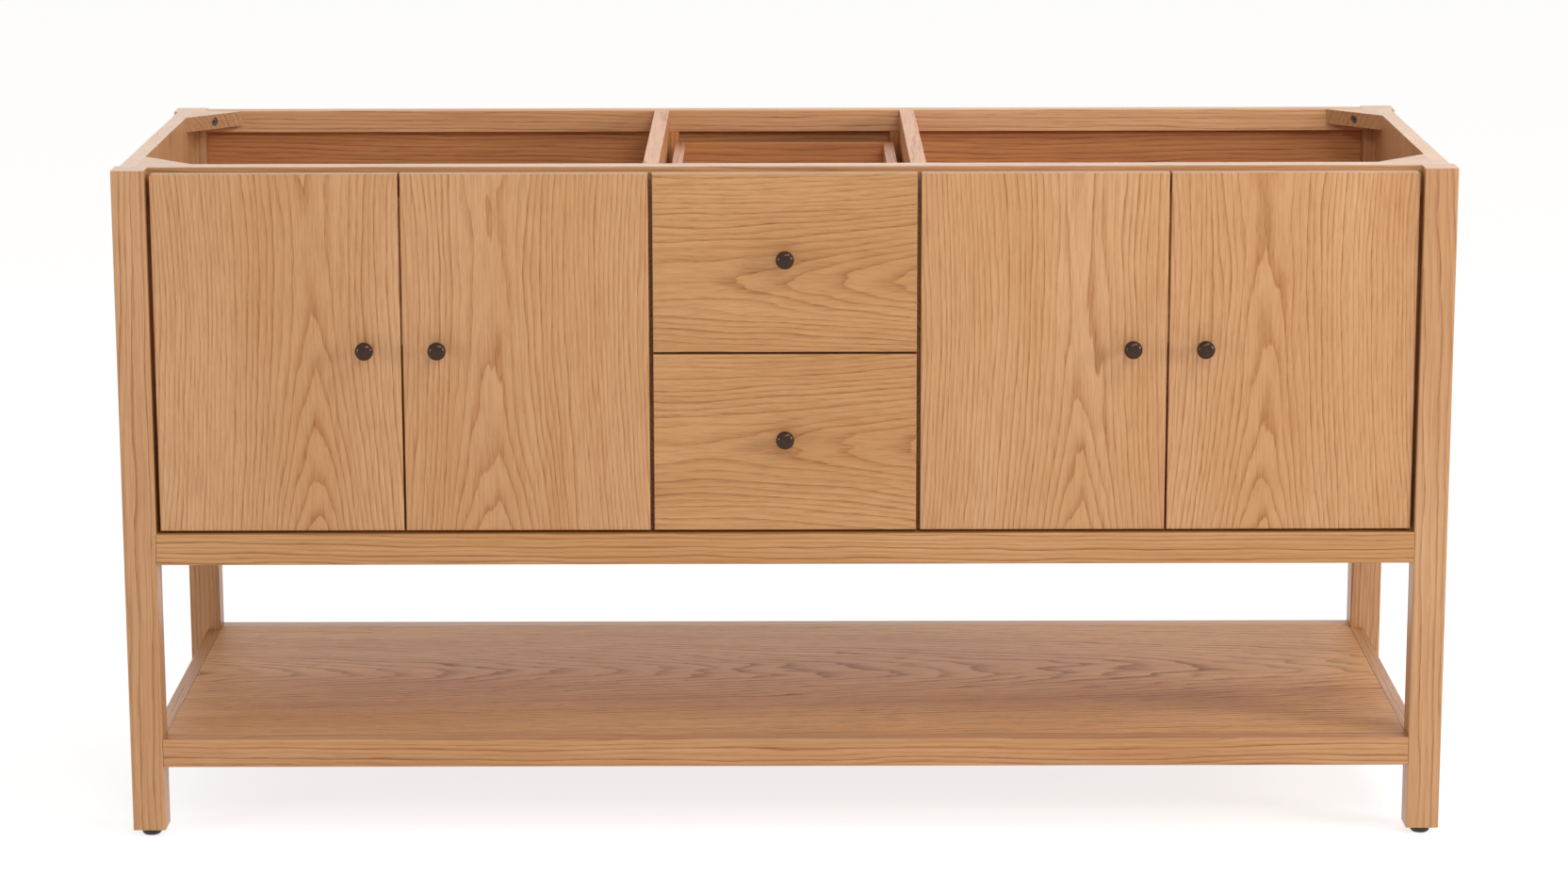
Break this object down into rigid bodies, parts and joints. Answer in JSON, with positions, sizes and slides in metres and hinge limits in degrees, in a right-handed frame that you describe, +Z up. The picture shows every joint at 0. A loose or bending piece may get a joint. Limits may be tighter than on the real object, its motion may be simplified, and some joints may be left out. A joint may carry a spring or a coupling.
{
  "type": "bathroom vanity cabinet",
  "caption": "Free-standing oak bathroom vanity cabinet for a two-basin counter, with hinged doors, centre drawers on runners and an open bottom shelf.",
  "frame": {"origin": "on the floor, under the middle of the whole box, knobs included", "axes": "+X to the right along the front, +Y from the front to the back, +Z up"},
  "size_m": [1.524, 0.565, 0.786],
  "materials": {
    "oak_front": "satin lacquered oak veneer",
    "oak_panel": "satin lacquered oak veneer",
    "oak_frame": "satin lacquered solid oak",
    "oak_inside": "satin lacquered oak veneer",
    "bronze": "dark oil-rubbed bronze",
    "nickel_steel": "nickel-plated",
    "zinc_steel": "zinc-plated",
    "black_bolt": "black oxide",
    "glide_nylon": "moulded",
    "bumper_silicone": "soft clear silicone"
  },
  "bodies": {
    "cabinet": {"back_panel": "oak_inside", "bottom_shelf": "oak_panel", "cabinet_floor": "oak_inside", "corner_blocks": "oak_frame", "corner_bolts": "black_bolt", "door_bumpers": "bumper_silicone", "drawer_bay_cleats": "oak_frame", "foot_glides": "glide_nylon", "front_apron": "oak_frame", "front_top_rail": "oak_frame", "hinge_arms": "nickel_steel", "hinge_mounting_plates": "nickel_steel", "hinge_posts": "oak_frame", "interior_shelves": "oak_inside", "leg_front_left": "oak_frame", "leg_front_right": "oak_frame", "leg_rear_left": "oak_frame", "leg_rear_right": "oak_frame", "partition_left": "oak_inside", "partition_right": "oak_inside", "rear_apron": "oak_frame", "rear_top_rail": "oak_frame", "runner_cabinet_members": "zinc_steel", "shelf_front_stretcher": "oak_frame", "shelf_pins": "nickel_steel", "shelf_rear_stretcher": "oak_frame", "shelf_side_stretchers": "oak_frame", "side_panel_left": "oak_panel", "side_panel_right": "oak_panel"},
    "door_outer_left": {"door_outer_left": "oak_front", "door_outer_left_hinge_cups": "nickel_steel", "door_outer_left_hinge_pins": "nickel_steel", "door_outer_left_knob": "bronze"},
    "door_inner_left": {"door_inner_left": "oak_front", "door_inner_left_hinge_cups": "nickel_steel", "door_inner_left_hinge_pins": "nickel_steel", "door_inner_left_knob": "bronze"},
    "door_inner_right": {"door_inner_right": "oak_front", "door_inner_right_hinge_cups": "nickel_steel", "door_inner_right_hinge_pins": "nickel_steel", "door_inner_right_knob": "bronze"},
    "door_outer_right": {"door_outer_right": "oak_front", "door_outer_right_hinge_cups": "nickel_steel", "door_outer_right_hinge_pins": "nickel_steel", "door_outer_right_knob": "bronze"},
    "drawer_upper": {"drawer_upper_box_bottom": "oak_inside", "drawer_upper_box_ends": "oak_inside", "drawer_upper_box_sides": "oak_inside", "drawer_upper_front": "oak_front", "drawer_upper_knob": "bronze", "drawer_upper_runner_members": "zinc_steel"},
    "drawer_upper_runner": {"drawer_upper_runner_middles": "zinc_steel"},
    "drawer_lower": {"drawer_lower_box_bottom": "oak_inside", "drawer_lower_box_ends": "oak_inside", "drawer_lower_box_sides": "oak_inside", "drawer_lower_front": "oak_front", "drawer_lower_knob": "bronze", "drawer_lower_runner_members": "zinc_steel"},
    "drawer_lower_runner": {"drawer_lower_runner_middles": "zinc_steel"}
  },
  "joints": [
    {"name": "door_outer_left_swing", "type": "hinge", "parent": "cabinet", "child": "door_outer_left", "pos_m": [-0.7105, -0.249, 0.57375], "axis": [0, 0, -1], "range_deg": [0, 95]},
    {"name": "door_inner_left_swing", "type": "hinge", "parent": "cabinet", "child": "door_inner_left", "pos_m": [-0.164, -0.249, 0.57375], "axis": [0, 0, 1], "range_deg": [0, 84]},
    {"name": "door_inner_right_swing", "type": "hinge", "parent": "cabinet", "child": "door_inner_right", "pos_m": [0.164, -0.249, 0.57375], "axis": [0, 0, -1], "range_deg": [0, 84]},
    {"name": "door_outer_right_swing", "type": "hinge", "parent": "cabinet", "child": "door_outer_right", "pos_m": [0.7105, -0.249, 0.57375], "axis": [0, 0, 1], "range_deg": [0, 95]},
    {"name": "drawer_upper_slide", "type": "slide", "parent": "cabinet", "child": "drawer_upper", "axis": [0, -1, 0], "range_m": [0, 0.43]},
    {"name": "drawer_upper_runner_slide", "type": "slide", "parent": "cabinet", "child": "drawer_upper_runner", "axis": [0, -1, 0], "range_m": [0, 0.215]},
    {"name": "drawer_lower_slide", "type": "slide", "parent": "cabinet", "child": "drawer_lower", "axis": [0, -1, 0], "range_m": [0, 0.43]},
    {"name": "drawer_lower_runner_slide", "type": "slide", "parent": "cabinet", "child": "drawer_lower_runner", "axis": [0, -1, 0], "range_m": [0, 0.215]}
  ],
  "couplings": [
    {"joint": "drawer_upper_runner_slide", "follows": "drawer_upper_slide", "ratio": 0.5},
    {"joint": "drawer_lower_runner_slide", "follows": "drawer_lower_slide", "ratio": 0.5}
  ]
}
